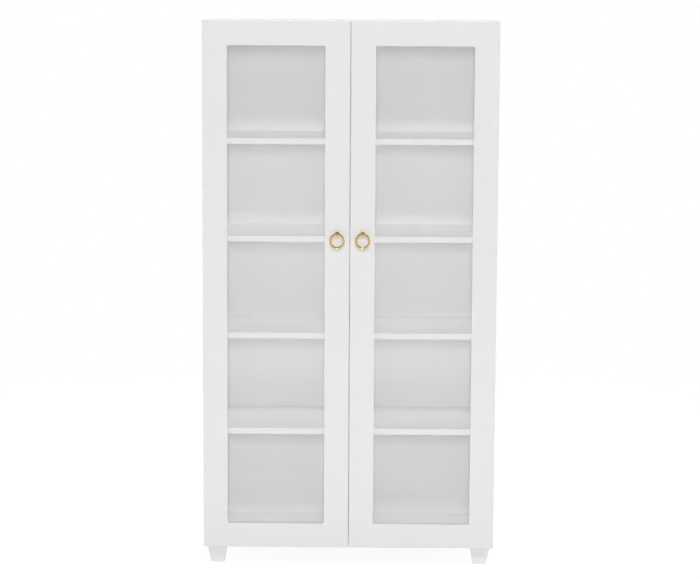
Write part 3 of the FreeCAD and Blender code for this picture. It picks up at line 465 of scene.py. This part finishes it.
def solid_boxes(mesh):
    """The lowest and highest corner of each loose solid in a bmesh."""
    waiting = set(mesh.verts)
    boxes = []
    for first in mesh.verts:
        if first not in waiting:
            continue
        waiting.discard(first)
        reached = [first]
        places = []
        while reached:
            vertex = reached.pop()
            places.append(vertex.co)
            for edge in vertex.link_edges:
                other = edge.other_vert(vertex)
                if other in waiting:
                    waiting.discard(other)
                    reached.append(other)
        low = Vector([min(place[axis] for place in places) for axis in range(3)])
        high = Vector([max(place[axis] for place in places) for axis in range(3)])
        boxes.append((low, high))
    return boxes


def add_cross(tool, spot, facing, across, depth):
    """A cutter for a cross that narrows as it reaches into a head from spot, against the way it faces."""
    arm = across / 2
    bar = CROSS_BAR_SHARE * across / 2
    outline = [
        (bar, bar), (bar, arm), (-bar, arm), (-bar, bar), (-arm, bar), (-arm, -bar),
        (-bar, -bar), (-bar, -arm), (bar, -arm), (bar, -bar), (arm, -bar), (arm, bar),
    ]
    turn = facing.to_track_quat("Z", "Y").to_matrix()
    rings = [
        [tool.verts.new(spot + turn @ Vector((share * x, share * y, rise))) for x, y in outline]
        for rise, share in ((CUTTER_CLEARANCE, CUTTER_SHARE), (-depth, CROSS_FLOOR_SHARE))
    ]
    tool.faces.new(rings[0])
    tool.faces.new(reversed(rings[1]))
    for first in range(len(outline)):
        second = (first + 1) % len(outline)
        tool.faces.new((rings[0][first], rings[1][first], rings[1][second], rings[0][second]))


def as_object(name, mesh):
    data = bpy.data.meshes.new(name)
    mesh.to_mesh(data)
    mesh.free()
    made = bpy.data.objects.new(name, data)
    bpy.context.scene.collection.objects.link(made)
    return made


def cut_away(piece, tool):
    """Takes the tool's shape out of the piece's mesh, for good, and removes the tool."""
    cut = piece.modifiers.new("cross", "BOOLEAN")
    cut.operation = "DIFFERENCE"
    cut.solver = "EXACT"
    cut.object = tool
    seen = piece.evaluated_get(bpy.context.evaluated_depsgraph_get())
    shape = bpy.data.meshes.new_from_object(seen)
    piece.modifiers.clear()
    piece.data = shape
    bpy.data.objects.remove(tool)


def recess_heads(node, across, depth, facing=None):
    """Stands for a node of screws or cams with a cross, sized in millimetres, cut in each head.

    Without a facing, each head looks towards the middle of the case.
    """
    solids = bmesh.new()
    solids.from_mesh(NODES[node].data)
    bmesh.ops.remove_doubles(solids, verts=solids.verts, dist=WELD_DISTANCE)
    crosses = bmesh.new()
    for low, high in solid_boxes(solids):
        middle = (low + high) / 2
        way = Vector((-math.copysign(1.0, middle.x), 0, 0)) if facing is None else facing
        to_head = Vector([(high - low)[axis] / 2 * way[axis] for axis in range(3)])
        add_cross(crosses, middle + to_head, way, across * MM, depth * MM)
    piece = as_object(node + "_recessed", solids)
    cut_away(piece, as_object(node + "_crosses", crosses))
    piece.data.shade_smooth()
    piece.data.set_sharp_from_angle(angle=SHARP_ANGLE)
    piece.data.materials.clear()
    piece.data.materials.append(NODES[node].material_slots[0].material)
    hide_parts(node)
    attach(piece, NODES[node]["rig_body"])


def recess_fasteners():
    for side in SIDES:
        recess_heads("hinge_cup_screws_" + side, across=4.2, depth=2.0, facing=TO_REAR)
        recess_heads("hinge_plate_screws_" + side, across=4.6, depth=2.4)
        recess_heads("pull_screw_" + side, across=5.0, depth=2.2, facing=TO_REAR)
    recess_heads("hinge_arm_screws", across=4.6, depth=2.4)
    recess_heads("cam_locks", across=8.5, depth=3.0, facing=DOWN)


# ---- floor and surroundings ----

PURE_WHITE = (1.0, 1.0, 1.0)
FLOOR_HALF = 60.0
FLOOR_BOUNCE = (0.8, 0.8, 0.8)
FLOOR_SHADE = (0.17, 0.17, 0.17)
FLOOR_GLOW = 0.90
FLOOR_FADE_START = 1.2
FLOOR_FADE_END = 3.5
LIGHT_LEVEL = 0.2
SKY_WHITE_BELOW = 0.22
SKY_DARK_ABOVE = 0.5
SKY_DARK = 0.06


def seen_directly(shading):
    """1 for rays that show the background: from the camera, off a gloss or through glass."""
    path = shading.node("LightPath").outputs
    seen = shading.maths("MAXIMUM", path["Is Camera Ray"], path["Is Glossy Ray"])
    return shading.maths("MAXIMUM", seen, path["Is Transmission Ray"])


def add_floor():
    """A pale floor; where it is seen it glows white, and near the object it takes a faint shadow."""
    edge = FLOOR_HALF
    corners = [(-edge, -edge, 0), (edge, -edge, 0), (edge, edge, 0), (-edge, edge, 0)]
    mesh = bpy.data.meshes.new("floor")
    mesh.from_pydata(corners, [], [(0, 1, 2, 3)])
    floor = bpy.data.objects.new("floor", mesh)
    bpy.context.scene.collection.objects.link(floor)
    material = bpy.data.materials.new("floor")
    shading = Shading(material, "OutputMaterial")
    plain = shading.node("BsdfDiffuse", Color=FLOOR_BOUNCE)
    shade = shading.node("BsdfDiffuse", Color=FLOOR_SHADE)
    glow = shading.node("Emission", Color=PURE_WHITE, Strength=FLOOR_GLOW)
    near = shading.node("AddShader", shade.outputs[0], glow.outputs[0])
    far = shading.node("Emission", Color=PURE_WHITE, Strength=1.0)
    distance = shading.node("VectorMath", shading.place["Object"], settings={"operation": "LENGTH"})
    fade = shading.level(
        distance.outputs["Value"], 0.0, 1.0, start=FLOOR_FADE_START, end=FLOOR_FADE_END, smooth=True)
    shown = shading.node("MixShader", fade, near.outputs[0], far.outputs[0])
    shading.show(shading.node("MixShader", seen_directly(shading), plain.outputs[0], shown.outputs[0]))
    mesh.materials.append(material)


def add_world():
    """Even light from all round; what the camera, gloss and glass see is white, and dark from well above."""
    world = bpy.data.worlds.new("studio")
    shading = Shading(world, "OutputWorld")
    light = shading.node("Background", Color=PURE_WHITE, Strength=LIGHT_LEVEL)
    rise = shading.axis("Generated", "Z")
    brightness = shading.level(rise, 1.0, SKY_DARK, start=SKY_WHITE_BELOW, end=SKY_DARK_ABOVE, smooth=True)
    seen = shading.node("Background", Color=PURE_WHITE, Strength=brightness)
    shading.show(shading.node("MixShader", seen_directly(shading), light.outputs[0], seen.outputs[0]))
    bpy.context.scene.world = world


# ---- lamps ----

def add_lamp(name, place, target, size, power, mirrored=False):
    """A panel, width by height, that the camera never sees; only a mirrored one shows in gloss and glass."""
    data = bpy.data.lights.new(name, "AREA")
    data.shape = "RECTANGLE"
    data.size, data.size_y = size
    data.energy = power
    lamp = bpy.data.objects.new(name, data)
    bpy.context.scene.collection.objects.link(lamp)
    lamp.location = place
    lamp.rotation_euler = (Vector(target) - Vector(place)).to_track_quat("-Z", "Y").to_euler()
    lamp.visible_camera = False
    lamp.visible_glossy = mirrored
    lamp.visible_transmission = mirrored


def add_lamps():
    """Two narrow panels in line with the camera, so that the doors' frames hide their own side shadows.

    The rest light the top, the legs, the sides and the back.
    """
    in_line = 0.08
    middle = (0.0, 0.0, 0.85)
    add_lamp("front", (in_line, -7.4, 2.1), middle, size=(0.3, 1.2), power=143.0)
    add_lamp("above", (in_line, -5.4, 5.4), middle, size=(0.3, 1.0), power=151.0, mirrored=True)
    add_lamp("over", (0.0, 0.3, 5.2), (0.0, 0.0, 1.0), size=(2.6, 1.6), power=98.0, mirrored=True)
    add_lamp("low", (0.05, -1.3, 0.1), (0.05, 0.0, 0.03), size=(1.6, 0.12), power=1.1)
    for end in (-1, 1):
        add_lamp("beside", (5.0 * end, 0.3, 1.9), (0.0, 0.3, 0.8), size=(2.0, 2.0), power=70.0)
    add_lamp("behind", (0.0, 6.0, 2.4), (0.0, 0.0, 0.8), size=(2.4, 1.6), power=110.0)


# ---- the scene ----

# Light has to bounce often enough to fill the white compartments.
DIFFUSE_BOUNCES = 10

add_camera()
add_floor()
add_world()
add_lamps()
dress_bookcase()
recess_fasteners()

bpy.context.scene.view_settings.view_transform = "Standard"
bpy.context.scene.cycles.diffuse_bounces = DIFFUSE_BOUNCES
